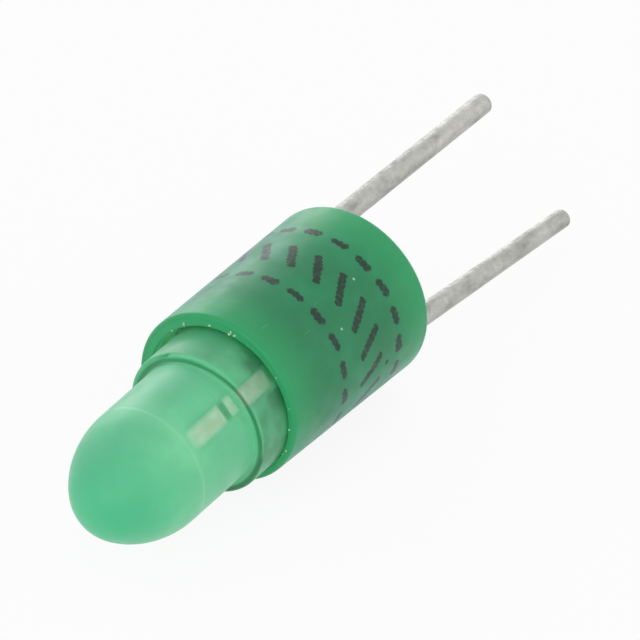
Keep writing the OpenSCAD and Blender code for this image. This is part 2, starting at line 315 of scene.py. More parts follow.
def add(tree, kind, *values, out=0, **named):
    """Adds a node with its settings and links, and gives the output asked for, or the node if that is None.

    The values fill its inputs in order, and None leaves one out. A named value with a capital is the input
    of that name or identifier, with _ for a space, and one without is a setting of the node. A socket given
    as a value is linked."""
    node = tree.nodes.new(kind)
    inputs = dict(enumerate(values))
    for name, value in named.items():
        if name[0].islower():
            setattr(node, name, value)
            continue
        names = [(socket.identifier, socket.name.replace(" ", "_")) for socket in node.inputs]
        inputs[next(i for i, pair in enumerate(names) if name in pair)] = value
    for key, value in inputs.items():
        if isinstance(value, bpy.types.NodeSocket):
            tree.links.new(value, node.inputs[key])
        elif value is not None:
            node.inputs[key].default_value = value
    return node if out is None else node.outputs[out]


def lumps(size_mm):
    """The scale at which a noise has lumps of a size in millimetres."""
    return 1 / (size_mm * MM)


def mask(tree, *steps, strength=1.0):
    """The strength where each step's value is past the second of its limits, and 0 before the first."""
    for value, low, high in steps:
        strength = add(tree, MAP, value, low, high, 0.0, strength, **SMOOTH)
    return strength


def layered(tree, base, layers):
    """A base colour with others laid over it, as (share, colour), the last on top."""
    for share, shade in layers:
        base = add(tree, MIX, share, A_Color=base, B_Color=shade, **COLOURS)
    return base


# ---- materials ----


def new_material(name):
    """A material with an empty node tree."""
    material = bpy.data.materials.new(name)
    material.use_nodes = True
    material.node_tree.nodes.clear()
    return material


def material_of(name, make, *arguments):
    """The material of that name, made once."""
    return bpy.data.materials.get(name) or make(*arguments)


def printed_band(tree, place):
    """A generic band round the sleeve, in dots of ink: slanting strokes between two broken rings."""
    strokes, radius = 19, 1.99 * MM
    pitch = 2 * math.pi * radius / strokes
    dot_pitch, dot_depth = 0.13 * MM, 0.012 * MM
    ink_edge, ink_full = 0.113 * MM, 0.073 * MM
    waver_height = 0.2 * MM
    x, y, z = add(tree, SPLIT, place, out=None).outputs
    angle = add(tree, MATH, z, x, operation="ARCTAN2")
    # the rows waver a little, as the lamp rolls under the jet
    waver = add(tree, NOISE, place, Scale=lumps(0.35))
    along = add(tree, MATH, waver, waver_height, y, operation="MULTIPLY_ADD")
    ink = 0.0
    # place along the sleeve in mm, slant in degrees, half length in mm, start as a share of the pitch
    rows = ((-1.15, 0, 0.13, 0.5), (-2.15, 59, 0.36, 0.7), (-3.15, 0, 0.13, 0.9))
    for centre, slant, half, start in rows:
        turns = add(tree, MATH, angle, strokes / (2 * math.pi), start, operation="MULTIPLY_ADD")
        part = add(tree, MATH, turns, operation="FRACT")
        across = add(tree, MATH, part, pitch, -pitch / 2, operation="MULTIPLY_ADD")
        down = add(tree, MATH, along, centre * MM + waver_height / 2, operation="SUBTRACT")
        point = add(tree, "ShaderNodeCombineXYZ", across, down)
        slanted = {"rotation_type": "Z_AXIS", "Angle": -math.radians(slant)}
        point = add(tree, "ShaderNodeVectorRotate", point, **slanted)
        run, off, _ = add(tree, SPLIT, point, out=None).outputs
        # how far the place lies from the stroke's middle line
        past = add(tree, MATH, run, operation="ABSOLUTE")
        past = add(tree, MATH, past, half * MM, operation="SUBTRACT")
        past = add(tree, MATH, past, 0.0, operation="MAXIMUM")
        away = add(tree, "ShaderNodeCombineXYZ", off, past)
        away = add(tree, "ShaderNodeVectorMath", away, operation="LENGTH", out="Value")
        # each stroke is a row of round dots that run into each other
        dots = add(tree, MATH, run, 2 * math.pi / dot_pitch, operation="MULTIPLY")
        dots = add(tree, MATH, dots, operation="COSINE")
        away = add(tree, MATH, dots, -dot_depth, away, operation="MULTIPLY_ADD")
        stroke = mask(tree, (away, ink_edge, ink_full))
        ink = add(tree, MATH, ink, stroke, operation="MAXIMUM")
    # the ink is a little thin in places
    thin = add(tree, NOISE, place, Scale=lumps(0.1), Detail=1.0)
    thin = add(tree, MAP, thin, 0.25, 0.5, 0.7, 1.0, **SMOOTH)
    return add(tree, MATH, ink, thin, operation="MULTIPLY", use_clamp=True)


def spot(tree, place, centre_mm, radius_mm, strength=1.0):
    """A small spot round a point."""
    centre = Vector(centre_mm) * MM
    away = add(tree, "ShaderNodeVectorMath", place, centre, operation="DISTANCE", out="Value")
    return mask(tree, (away, radius_mm * 1.2 * MM, radius_mm * 0.7 * MM), strength=strength)


def sleeve_material(colours):
    """Satin injection-moulded polyamide: an even strong green, a soft wide sheen, faint handling marks."""
    material = new_material("moulded_green_polyamide")
    tree = material.node_tree
    place = add(tree, "ShaderNodeTexCoord", out="Object")
    y = add(tree, SPLIT, place, out="Y")
    rim, bore = SLEEVE_LOW.y, 1.8 * MM
    flow = add(tree, NOISE, place, Scale=lumps(1.6), Detail=3.0, Roughness=0.55)
    middle = add(tree, MATH, y, 2.6 * MM, operation="ADD")
    middle = add(tree, MATH, middle, operation="ABSOLUTE")
    # fine scratches run mostly along the sleeve, where lamps rub against each other in the bag
    lengthwise = add(tree, "ShaderNodeMapping", place, Scale=(1, 0.09, 1))
    scratch = add(tree, NOISE, lengthwise, Scale=lumps(0.05), Roughness=0.6)
    scratch_low, scratch_high = 0.69, 0.78
    # painted light: the thin walls round the recess are painted lighter for the light they let through, but
    # the face of the rim less so
    flat = add(tree, "ShaderNodeVectorMath", place, (1, 0, 1), operation="MULTIPLY")
    radius = add(tree, "ShaderNodeVectorMath", flat, operation="LENGTH", out="Value")
    behind_rim = add(tree, MAP, y, rim + 0.01 * MM, rim + 0.06 * MM, 0.08, 1.0, **SMOOTH)
    near_rim, near_bore = (y, rim + 1.2 * MM, rim + 0.8 * MM), (radius, bore + 0.06 * MM, bore)
    wall = mask(tree, near_rim, near_bore, strength=behind_rim)
    dust, pit = linear("#BFE3C8"), linear("#10281C")
    base = layered(
        tree,
        colours.sleeve,
        (
            (mask(tree, (flow, 0.3, 0.7)), colours.sleeve_deep),
            # painted light: the sleeve is painted lighter towards its two ends, and so darker in the middle,
            # for how the light falls along it
            (mask(tree, (middle, 1.0 * MM, 2.5 * MM), strength=0.7), colours.sleeve_painted_lit_ends),
            (mask(tree, (scratch, scratch_low, scratch_high), strength=0.22), linear("#8FC7A6")),
            (wall, colours.sleeve_painted_glow),
            # painted light: a pool of light is painted at the bottom of the recess
            (mask(tree, (y, rim + 0.2 * MM, rim + 0.55 * MM), strength=wall), linear("#8CF5B4")),
            (printed_band(tree, place), colours.ink),
            (spot(tree, place, (1.195, -1.673, 1.583), 0.032, 0.7), dust),
            (spot(tree, place, (1.635, -2.786, 1.102), 0.03, 0.7), dust),
            (spot(tree, place, (1.969, -1.59, -0.241), 0.06), pit),
        ),
    )
    cloud = add(tree, NOISE, place, Scale=lumps(0.4), Detail=3.0)
    grain = add(tree, NOISE, place, Scale=lumps(0.035))
    scored = mask(tree, (scratch, scratch_low, scratch_high), strength=0.6)
    relief = add(tree, MATH, grain, scored, operation="ADD")
    shader = add(
        tree,
        PRINCIPLED,
        Base_Color=base,
        Roughness=add(tree, MAP, cloud, 0.3, 0.7, 0.4, 0.5, **SMOOTH),
        Normal=add(tree, BUMP, Height=relief, Strength=0.25, Distance=0.003 * MM),
        IOR=1.53,
        Specular_IOR_Level=0.36,
        Sheen_Weight=0.42,
        Sheen_Roughness=0.3,
        Sheen_Tint=linear("#D0E0FF"),
        Subsurface_Weight=add(tree, MATH, wall, 0.2, operation="MAXIMUM"),
        Subsurface_Radius=(0.35, 1.0, 0.5),
        Subsurface_Scale=0.3 * MM,
    )
    add(tree, "ShaderNodeOutputMaterial", shader, out=None)
    return material


def skin_material(colours, led):
    """The outside of the tinted, diffused epoxy: soft as cast, clear enough to show the lead frame."""
    material = new_material("tinted_cast_epoxy")
    tree = material.node_tree
    place = add(tree, "ShaderNodeTexCoord", out="Object")
    # the place in the LED's own frame, in millimetres. The flange ends at proud and the dome starts at top
    own = add(tree, "ShaderNodeAttribute", attribute_name="own_place", out="Vector")
    x, y, z = add(tree, SPLIT, own, out=None).outputs
    flat = add(tree, "ShaderNodeVectorMath", own, (1, 1, 0), operation="MULTIPLY")
    radius = add(tree, "ShaderNodeVectorMath", flat, operation="LENGTH", out="Value")
    proud = led.flange_proud / MM
    top = proud + led.straight / MM
    cloud = add(tree, NOISE, place, Scale=lumps(0.9))
    # the flange is thicker than the body, so its tint is stronger
    streaks = add(tree, NOISE, place, Scale=lumps(0.5))
    streaks = add(tree, MAP, streaks, 0.3, 0.6, 0.6, 1.0, **SMOOTH)
    # painted highlight: the flange's tint fades towards +y, where light falls on it
    tint = add(tree, MAP, y, 0.3, 1.2, 0.95, 0.55, **SMOOTH)
    tint = add(tree, MATH, tint, streaks, operation="MULTIPLY")
    rim = mask(tree, (z, proud - 0.02, proud - 0.12))
    rim = add(tree, MATH, rim, mask(tree, (radius, 1.55, 1.61)), operation="MAXIMUM")
    # painted shade: the front of the flange bends light away, so a thin dark ring is painted there. It is
    # shifted inwards and painted lighter towards +y, where light falls on the flange's front
    inset = add(tree, MAP, y, 0.2, 1.3, 0.0, 0.075, **SMOOTH)
    reach = add(tree, MATH, radius, inset, operation="ADD")
    across_ring = (reach, 1.49, 1.56), (reach, 1.66, 1.61)
    ring = mask(tree, *across_ring, (z, proud - 0.05, proud - 0.01), (z, proud + 0.1, proud + 0.04))
    ring_share = add(tree, MAP, y, -0.2, 1.2, 0.9, 0.75, **SMOOTH)
    # painted shade: beside the lead the flange is painted darker, for the lead's shadow in the resin that
    # lies deep behind it
    aside = add(tree, MATH, y, operation="ABSOLUTE")
    beside = mask(tree, (aside, 0.22, 0.3), (aside, 1.0, 0.45), (z, 0.55, 0.2), (x, 0.0, 0.4))
    # painted highlight: a faint pale line is painted where the body meets the dome
    joint = add(tree, MATH, z, top, operation="SUBTRACT")
    joint = add(tree, MATH, joint, operation="ABSOLUTE")
    base = layered(
        tree,
        colours.lens,
        (
            (mask(tree, (cloud, 0.35, 0.65), strength=0.5), colours.lens_deep),
            (mask(tree, (z, top + 0.1, top - 0.8), strength=0.8), colours.lens_deep),
            (mask(tree, (z, top, top + 1.9)), colours.lens_tip),
            # painted shade: the side towards +y is painted darker, tempering the light that falls there
            (mask(tree, (y, 0.1, 1.2), strength=0.45), linear("#4FB48A")),
            (add(tree, MATH, rim, tint, operation="MULTIPLY"), colours.lens_flange),
            (add(tree, MATH, ring, ring_share, operation="MULTIPLY"), colours.lens_painted_shade),
            (add(tree, MATH, beside, 0.72, operation="MULTIPLY"), colours.lens_painted_shade),
            (mask(tree, (joint, 0.07, 0.01), strength=0.2), linear("#B9EBC9")),
        ),
    )
    # the filler thickens towards the dome, so the lead frame fades there
    alpha = add(tree, MAP, z, proud + 1.4, top + 0.05, 0.55, 1.0, **SMOOTH)
    neck = add(tree, MATH, z, led.neck_top / MM - 0.18, operation="SUBTRACT")
    neck = add(tree, MATH, neck, operation="ABSOLUTE")
    facing = add(tree, "ShaderNodeLayerWeight", Blend=0.5, out="Facing")
    for share in (
        # the flange is thicker than the body, and the neck lies deeper than the lead
        mask(tree, (z, proud, proud - 0.1), strength=0.64),
        mask(tree, (neck, 0.24, 0.14), strength=0.6),
        add(tree, MATH, ring, 0.9, operation="MULTIPLY"),
        beside,
        # nothing shows behind the rim of the sleeve
        mask(tree, (z, 0.08, 0.0)),
        # a slanting look goes through more of the filler
        mask(tree, (facing, 0.18, 0.36)),
    ):
        alpha = add(tree, MATH, alpha, share, operation="MAXIMUM")
    gloss = add(tree, NOISE, place, Scale=lumps(0.35), Detail=3.0)
    fine = add(tree, NOISE, place, Scale=lumps(0.12))
    shader = add(
        tree,
        PRINCIPLED,
        Base_Color=base,
        Roughness=add(tree, MAP, gloss, 0.3, 0.7, 0.4, 0.5, **SMOOTH),
        Normal=add(tree, BUMP, Height=fine, Strength=0.08, Distance=0.003 * MM),
        Alpha=alpha,
        IOR=1.54,
        Sheen_Weight=0.12,
        Sheen_Roughness=0.4,
        Subsurface_Weight=1.0,
        Subsurface_Radius=EPOXY_REACH,
        Subsurface_Scale=0.2 * MM,
    )
    add(tree, "ShaderNodeOutputMaterial", shader, out=None)
    return material


def depth_material(colours):
    """The same epoxy as far in as the eye reaches: the filler scatters all light back, soft and even."""
    material = new_material("milky_epoxy_depth")
    tree = material.node_tree
    place = add(tree, "ShaderNodeTexCoord", out="Object")
    cloud = add(tree, NOISE, place, Scale=lumps(0.7))
    cloud = mask(tree, (cloud, 0.35, 0.65))
    shader = add(
        tree,
        PRINCIPLED,
        Base_Color=layered(tree, colours.lens_core, ((cloud, colours.lens),)),
        Roughness=0.9,
        Specular_IOR_Level=0.0,
        Subsurface_Weight=1.0,
        Subsurface_Radius=EPOXY_REACH,
        Subsurface_Scale=0.25 * MM,
    )
    add(tree, "ShaderNodeOutputMaterial", shader, out=None)
    return material


def plate_material(colours, led, stand):
    """Silver-plated stamped copper alloy, slightly tarnished: a warm pale grey, soft sheen."""
    material = new_material("silver_plated_stamping")
    tree = material.node_tree
    place = add(tree, "ShaderNodeTexCoord", out="Object")

    def away_from(way, distance):
        """How far a point lies from the plane at a distance along one of the LED's own directions."""
        way = (stand.to_3x3() @ Vector(way)).normalized()
        along = add(tree, "ShaderNodeVectorMath", place, way, operation="DOT_PRODUCT", out="Value")
        away = add(tree, MATH, along, way.dot(stand.translation) + distance, operation="SUBTRACT")
        return add(tree, MATH, away, operation="ABSOLUTE")

    tarnish = add(tree, NOISE, place, Scale=lumps(0.3), Detail=3.0)
    step = away_from((0, 0, 1), led.neck_top - 0.28 * MM)
    edge = away_from((0, 1, 0), 0.0)
    base = layered(
        tree,
        colours.lead_frame,
        (
            (mask(tree, (tarnish, 0.4, 0.7)), linear("#E2DCC2")),
            # the step above the neck lies in its own shade
            (mask(tree, (step, 0.12 * MM, 0.07 * MM)), colours.lens_painted_shade),
            # the filler creeps over the long edges
            (mask(tree, (edge, 0.12 * MM, 0.24 * MM), strength=0.7), colours.lens_core),
        ),
    )
    grain = add(tree, NOISE, place, Scale=lumps(0.08))
    rough = add(tree, MAP, grain, 0.3, 0.7, 0.4, 0.55, **SMOOTH)
    shader = add(tree, PRINCIPLED, Base_Color=base, Roughness=rough, Metallic=0.2)
    add(tree, "ShaderNodeOutputMaterial", shader, out=None)
    return material


def tin_material(colours):
    """Hot-dipped tin on steel wire: pale warm grey, half matt, clouded by crystals, handling and pits."""
    material = new_material("hot_dipped_tin")
    tree = material.node_tree
    place = add(tree, "ShaderNodeTexCoord", out="Object")
    lengthwise = add(tree, "ShaderNodeMapping", place, Scale=(1, 0.3, 1))
    crystals = add(tree, NOISE, lengthwise, Scale=lumps(0.26), Detail=4.0, Roughness=0.6)
    ramp = add(tree, "ShaderNodeValToRGB", crystals, out=None)
    ramp.color_ramp.elements.new(0.5)
    stops = (0.3, linear("#A6A6A0")), (0.5, colours.tin), (0.72, linear("#CCCBC5"))
    for element, (position, shade) in zip(ramp.color_ramp.elements, stops):
        element.position = position
        element.color = shade
    pits = add(tree, NOISE, place, Scale=lumps(0.05))
    pits = mask(tree, (pits, 0.62, 0.72))
    stain = add(tree, MATH, pits, 0.3, operation="MULTIPLY")
    relief = add(tree, MATH, pits, -0.5, crystals, operation="MULTIPLY_ADD")
    gloss = add(tree, NOISE, place, Scale=lumps(0.14), Detail=3.0)
    shader = add(
        tree,
        PRINCIPLED,
        Base_Color=layered(tree, ramp.outputs["Color"], ((stain, linear("#7E7D78")),)),
        Roughness=add(tree, MAP, gloss, 0.3, 0.7, 0.52, 0.7, **SMOOTH),
        Normal=add(tree, BUMP, Height=relief, Strength=0.3, Distance=0.01 * MM),
        Metallic=1.0,
    )
    add(tree, "ShaderNodeOutputMaterial", shader, out=None)
    return material


def plain_material(name, low, high, size_mm, metallic, rough_low, rough_high):
    """A finish of two close colours in lumps of a real size, for the pieces inside."""
    material = new_material(name)
    tree = material.node_tree
    place = add(tree, "ShaderNodeTexCoord", out="Object")
    cloud = add(tree, NOISE, place, Scale=lumps(size_mm), Detail=3.0)
    gloss = add(tree, NOISE, place, Scale=lumps(size_mm / 2))
    shader = add(
        tree,
        PRINCIPLED,
        Base_Color=layered(tree, linear(low), ((mask(tree, (cloud, 0.35, 0.65)), linear(high)),)),
        Roughness=add(tree, MAP, gloss, 0.3, 0.7, rough_low, rough_high, **SMOOTH),
        Normal=add(tree, BUMP, Height=cloud, Strength=0.2, Distance=size_mm * 0.05 * MM),
        Metallic=metallic,
    )
    add(tree, "ShaderNodeOutputMaterial", shader, out=None)
    return material


# ---- geometry node trees ----


def new_tree(name, inputs):
    """A geometry node tree with named inputs of (name, socket, default) and one mesh out."""
    tree = bpy.data.node_groups.new(name, "GeometryNodeTree")
    tree.interface.new_socket("Geometry", in_out="INPUT", socket_type="NodeSocketGeometry")
    for title, kind, default in inputs:
        tree.interface.new_socket(title, in_out="INPUT", socket_type=kind).default_value = default
    tree.interface.new_socket("Geometry", in_out="OUTPUT", socket_type="NodeSocketGeometry")
    return tree


def close_tree(tree, geometry, material):
    """Ends a tree with plain geometry in its material."""
    real = add(tree, "GeometryNodeRealizeInstances", geometry)
    dressed = add(tree, "GeometryNodeSetMaterial", real, Material=material)
    add(tree, "NodeGroupOutput", dressed, out=None)
    return tree


def grown(name, base, tree, values):
    """Runs a geometry node tree on a mesh and returns its result as a plain mesh object."""
    carrier = bpy.data.objects.new(name + "_base", base)
    bpy.context.scene.collection.objects.link(carrier)
    modifier = carrier.modifiers.new(tree.name, "NODES")
    modifier.node_group = tree
    for item in tree.interface.items_tree:
        if item.item_type == "SOCKET" and item.in_out == "INPUT" and item.name in values:
            modifier[item.identifier] = values[item.name]
    graph = bpy.context.evaluated_depsgraph_get()
    graph.update()
    data = bpy.data.meshes.new_from_object(carrier.evaluated_get(graph))
    data.name = name
    bpy.data.objects.remove(carrier)
    piece = bpy.data.objects.new(name, data)
    bpy.context.scene.collection.objects.link(piece)
    return piece


def wire_tree(material):
    """A tinned wire along a path: its coat thins to the cut end and is a little lumpy."""
    tree = new_tree(
        "tinned_wire",
        [
            ("Start Radius", "NodeSocketFloat", 0.25 * MM),
            ("Tip Radius", "NodeSocketFloat", 0.23 * MM),
            ("End Round", "NodeSocketFloat", 0.07 * MM),
            ("Lumps", "NodeSocketFloat", 0.008 * MM),
            ("Seed", "NodeSocketInt", 3),
        ],
    )
    given = add(tree, "NodeGroupInput", out=None).outputs
    path = add(tree, "GeometryNodeMeshToCurve", given["Geometry"])
    fine = add(tree, "GeometryNodeResampleCurve", path, Count=700)
    along = add(tree, "GeometryNodeSplineParameter", out=None).outputs
    total = add(tree, "GeometryNodeSplineLength", out="Length")
    taper = add(tree, MIX, along["Factor"], A=given["Start Radius"], B=given["Tip Radius"])
    # the cut end is rounded by the quarter circle sqrt(r^2 - (r - left)^2) of the length that is left
    left = add(tree, MATH, total, along["Length"], operation="SUBTRACT")
    inward = add(tree, MATH, given["End Round"], left, operation="SUBTRACT")
    inward = add(tree, MATH, inward, 0.0, operation="MAXIMUM")
    inward = add(tree, MATH, inward, inward, operation="MULTIPLY")
    curve = add(tree, MATH, given["End Round"], given["End Round"], operation="MULTIPLY")
    curve = add(tree, MATH, curve, inward, operation="SUBTRACT")
    curve = add(tree, MATH, curve, 0.0, operation="MAXIMUM")
    curve = add(tree, MATH, curve, operation="SQRT")
    lost = add(tree, MATH, given["End Round"], curve, operation="SUBTRACT")
    radius = add(tree, MATH, taper, lost, operation="SUBTRACT")
    sized = add(tree, "GeometryNodeSetCurveRadius", fine, Radius=radius)
    ring = add(tree, "GeometryNodeCurvePrimitiveCircle", Resolution=56, Radius=1.0)
    tube = add(tree, "GeometryNodeCurveToMesh", sized, ring, Fill_Caps=True, Scale=radius)
    wave = add(tree, NOISE, W=given["Seed"], Scale=lumps(0.55), noise_dimensions="4D")
    tall = add(tree, MATH, wave, 0.5, operation="SUBTRACT")
    tall = add(tree, MATH, tall, given["Lumps"], operation="MULTIPLY")
    outwards = add(tree, "GeometryNodeInputNormal")
    push = add(tree, "ShaderNodeVectorMath", outwards, Scale=tall, operation="SCALE")
    return close_tree(tree, add(tree, "GeometryNodeSetPosition", tube, Offset=push), material)


def speck_tree(material):
    """Flakes scattered over a mesh: named density and sizes, fixed seed."""
    tree = new_tree(
        "seam_specks",
        [
            ("Density", "NodeSocketFloat", 2.0e7),
            ("Least Size", "NodeSocketFloat", 0.012 * MM),
            ("Greatest Size", "NodeSocketFloat", 0.055 * MM),
            ("Seed", "NodeSocketInt", 5),
        ],
    )
    given = add(tree, "NodeGroupInput", out=None).outputs
    density = {"Density": given["Density"], "Seed": given["Seed"]}
    points = add(tree, "GeometryNodeDistributePointsOnFaces", given["Geometry"], **density)
    flake = add(tree, "GeometryNodeMeshIcoSphere", Radius=1.0, Subdivisions=2)
    sizes = {"Min_001": given["Least Size"], "Max_001": given["Greatest Size"], "Seed": given["Seed"]}
    size = add(tree, "FunctionNodeRandomValue", data_type="FLOAT", out=1, **sizes)
    shapes = {"Min": (0.3, 0.3, 0.3), "Max": (1.0, 1.0, 1.0), "Seed": given["Seed"]}
    shape = add(tree, "FunctionNodeRandomValue", data_type="FLOAT_VECTOR", **shapes)
    scale = add(tree, "ShaderNodeVectorMath", shape, Scale=size, operation="SCALE")
    flakes = add(tree, "GeometryNodeInstanceOnPoints", points, Instance=flake, Scale=scale)
    return close_tree(tree, flakes, material)


def seen_ray(tree):
    """1 for the rays by which a camera, metal or glass sees a background, and 0 for those that light."""
    rays = add(tree, "ShaderNodeLightPath", out=None).outputs
    seen = add(tree, MATH, rays["Is Camera Ray"], rays["Is Glossy Ray"], operation="MAXIMUM")
    return add(tree, MATH, seen, rays["Is Transmission Ray"], operation="MAXIMUM")


def path_mesh(name, points):
    """A mesh of edges through points."""
    data = bpy.data.meshes.new(name)
    data.from_pydata([tuple(p) for p in points], [(i, i + 1) for i in range(len(points) - 1)], [])
    return data


# ---- operators ----


class LAMP_OT_sleeve(bpy.types.Operator):
    """Turns the moulded sleeve, with its off-centre recess, and prints its band"""

    bl_idname = "lamp.sleeve"
    bl_label = "Sleeve"

    def execute(self, context):
        s, led = settings().sleeve, settings().led
        core = core_centre(s)
        front = s.rear_radius - s.draft
        recess = front - s.rim_wall
        flange = recess - led.flange_clearance
        depth = led.flange_sunk * math.cos(led.lean) + flange * math.sin(led.lean)
        ledge = s.length - depth
        lip = s.lip_round
        profile = [(s.seat_radius, 0.0)]
        profile += arc(s.rear_radius - s.rear_round, s.rear_round, s.rear_round, -90, 0, EDGE_STEPS)
        wall_steps = 12
        rear_z, front_z = s.rear_round, s.length - s.rim_round
        for share in (i / wall_steps for i in range(1, wall_steps)):
            radius = s.rear_radius + (front - s.rear_radius) * share
            profile.append((radius, rear_z + (front_z - rear_z) * share))
        profile += arc(front - s.rim_round, front_z, s.rim_round, 0, 90, EDGE_STEPS)
        profile += [(r, z, core) for r, z in arc(recess + lip, s.length - lip, lip, 90, 180, FILLET_STEPS)]
        profile += [(recess, ledge, core), (s.cavity_radius, ledge)]
        profile += [(s.cavity_radius, s.seat_depth), (s.seat_radius, s.seat_depth)]
        piece = turned_mesh("sleeve", profile, SKIN_SEGMENTS, LYING, closed=True)
        material = material_of("moulded_green_polyamide", sleeve_material, settings().colours)
        settle(piece, material, "housing", "housing")
        return {"FINISHED"}


class LAMP_OT_lens(bpy.types.Operator):
    """Casts the LED's body: flange with its flat, straight part and two-arc dome"""

    bl_idname = "lamp.lens"
    bl_label = "LED body"

    def execute(self, context):
        s, led = settings().sleeve, settings().led
        flange = s.rear_radius - s.draft - s.rim_wall - led.flange_clearance
        body = flange - led.flange_step
        nose = body - led.nose_inset
        drop = led.dome_height - nose
        inset = (drop**2 - led.nose_inset**2) / (2 * led.nose_inset)
        joint = math.degrees(math.atan2(drop, inset))
        base = led.flange_proud + led.straight
        edge, step, lip = led.flange_round, led.step_round, led.flange_proud
        flat = flange - led.flat_depth
        place = led_place(s, led)

        def dome(r_less):
            """The dome's two arcs, with the radius smaller by r_less."""
            points = arc(-inset, base, body + inset - r_less, 0, joint, DOME_STEPS)
            points += arc(0.0, base + drop, nose - r_less, joint, 90, DOME_STEPS)[1:-1]
            return points + [(0.0, base + led.dome_height - r_less)]

        def with_flat(co):
            """The flange's flat ends at its front."""
            return Vector((max(co.x, -flat), co.y, co.z)) if co.z < lip + TINY else co

        flange_steps = straight_steps = 8
        profile = [(0.0, -led.flange_sunk)]
        profile += arc(flange - edge, edge - led.flange_sunk, edge, -90, 0, FILLET_STEPS) + [(flange, 0.0)]
        profile += arc(flange - edge, lip - edge, edge, 0, 90, flange_steps)
        profile += arc(body + step, lip + step, step, 270, 180, FILLET_STEPS)
        rises = [led.straight * i / straight_steps for i in range(1, straight_steps)]
        profile += [(body, lip + rise) for rise in rises] + dome(0.0)
        skin = turned_mesh("led_body", profile, SKIN_SEGMENTS, place, change=with_flat)

        # the depth at which the filler hides what lies behind. The lead frame's outer faces stand out of it
        hidden = led.clear_depth
        sunk = 0.02 * MM - led.flange_sunk
        profile = [(0.0, sunk), (led.lead_face, sunk), (led.lead_face, led.shoulder)]
        profile += [(led.neck_face, led.shoulder + 0.04 * MM), (led.neck_face, led.neck_top)]
        profile += [(body - hidden, led.neck_top + 0.1 * MM), (body - hidden, base - 0.3 * MM)]
        profile += dome(hidden)
        core = turned_mesh("led_depth", profile, DEPTH_SEGMENTS, place, change=with_flat)

        # light comes through the epoxy from all round, so neither layer throws a shadow on what it holds
        skin.visible_shadow = core.visible_shadow = False
        skin.visible_diffuse = False
        colours = settings().colours
        settle(skin, material_of("tinted_cast_epoxy", skin_material, colours, led), "lens", "led_lens")
        settle(core, material_of("milky_epoxy_depth", depth_material, colours), "lens", "led_lens")
        return {"FINISHED"}


class LAMP_OT_pins(bpy.types.Operator):
    """Draws the two tinned wire pins along their paths"""

    bl_idname = "lamp.pins"
    bl_label = "Pins"

    def execute(self, context):
        pins = settings().pins
        material = material_of("hot_dipped_tin", tin_material, settings().colours)
        tree = wire_tree(material)
        rows = (
            ("pin_straight", "pin_anode", False, 0.0, pins.straight_tip),
            ("pin_bent", "pin_cathode", True, pins.bend, pins.bent_tip),
        )
        for seed, (name, node, half_turn, bend, tip) in enumerate(rows):
            place = pin_place(pins, half_turn)
            # the coat's lumps and the bend stay within the length
            reach = pins.free_length - 0.004 * MM
            points = [
                Vector((0, 0, pins.inner_length - 0.02 * MM)),
                Vector((0, 0, 0.02 * MM if bend else 0)),
                Vector((reach * math.sin(bend), 0, -reach * math.cos(bend))),
            ]
            base = path_mesh(name, [place @ p for p in points])
            values = {
                "Start Radius": pins.diameter / 2 - pins.coat_lumps / 2,
                "Tip Radius": tip / 2 - pins.coat_lumps / 2,
                "End Round": pins.end_round,
                "Lumps": pins.coat_lumps,
                "Seed": 3 + seed,
            }
            piece = grown(name, base, tree, values)
            piece.data.polygons.foreach_set("use_smooth", [True] * len(piece.data.polygons))
            piece.data.set_sharp_from_angle(angle=math.radians(50))
            settle(piece, material, "pin", node)
        return {"FINISHED"}


class LAMP_OT_inside(bpy.types.Operator):
    """Finishes the base disc, the lead frame and everything that is potted inside"""

    bl_idname = "lamp.inside"
    bl_label = "Base and inner pieces"

    def execute(self, context):
        colours, led = settings().colours, settings().led
        stand = led_place(settings().sleeve, led)
        plate = material_of("silver_plated_stamping", plate_material, colours, led, stand)
        finishes = {
            "base_disc": material_of("moulded_green_polyamide", sleeve_material, colours),
            "anode_frame": plate,
            "cathode_frame": plate,
            # cleaved gallium phosphide: clear amber, glossy faces
            "led_chip": plain_material("cleaved_crystal", "#E0C840", "#C9AC34", 0.05, 0.0, 0.1, 0.2),
            # silver flakes in epoxy: grey and grainy
            "chip_glue": plain_material("silver_filled_epoxy", "#C9C9C6", "#9A9A97", 0.02, 0.6, 0.35, 0.5),
            # drawn gold wire: even and bright
            "bond_wire": plain_material("drawn_gold_wire", "#E3B64D", "#D5A43C", 0.03, 1.0, 0.18, 0.26),
            # woven glass laminate: the weave shows as faint lumps under the green mask
            "carrier_board": plain_material("glass_laminate", "#3E6D3B", "#335C33", 0.12, 0.0, 0.35, 0.5),
            # glazed resistor body: near black, smooth
            "resistor_body": plain_material("glazed_ceramic", "#24211F", "#312D2A", 0.06, 0.0, 0.2, 0.3),
            # moulded diode body: dark grey, matt
            "diode_body": plain_material("moulded_novolac", "#4A4540", "#57514B", 0.05, 0.0, 0.45, 0.6),
            # solder, set bright: smooth, clouded
            "solder_joints": plain_material("bright_solder", "#CFD0CD", "#B9BAB7", 0.08, 1.0, 0.2, 0.32),
            # filled potting epoxy: tinted like the sleeve, half matt
            "potting": plain_material("filled_potting_epoxy", "#3FA56C", "#4DB87B", 0.15, 0.0, 0.4, 0.55),
        }
        # plated end caps: grey metal, half matt
        caps = plain_material("tin_plated_cap", "#C5C5C1", "#AEAEA9", 0.04, 1.0, 0.3, 0.45)
        finishes["resistor_caps"] = finishes["diode_caps"] = caps
        for node, material in finishes.items():
            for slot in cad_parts[node].material_slots:
                slot.material = material
        return {"FINISHED"}


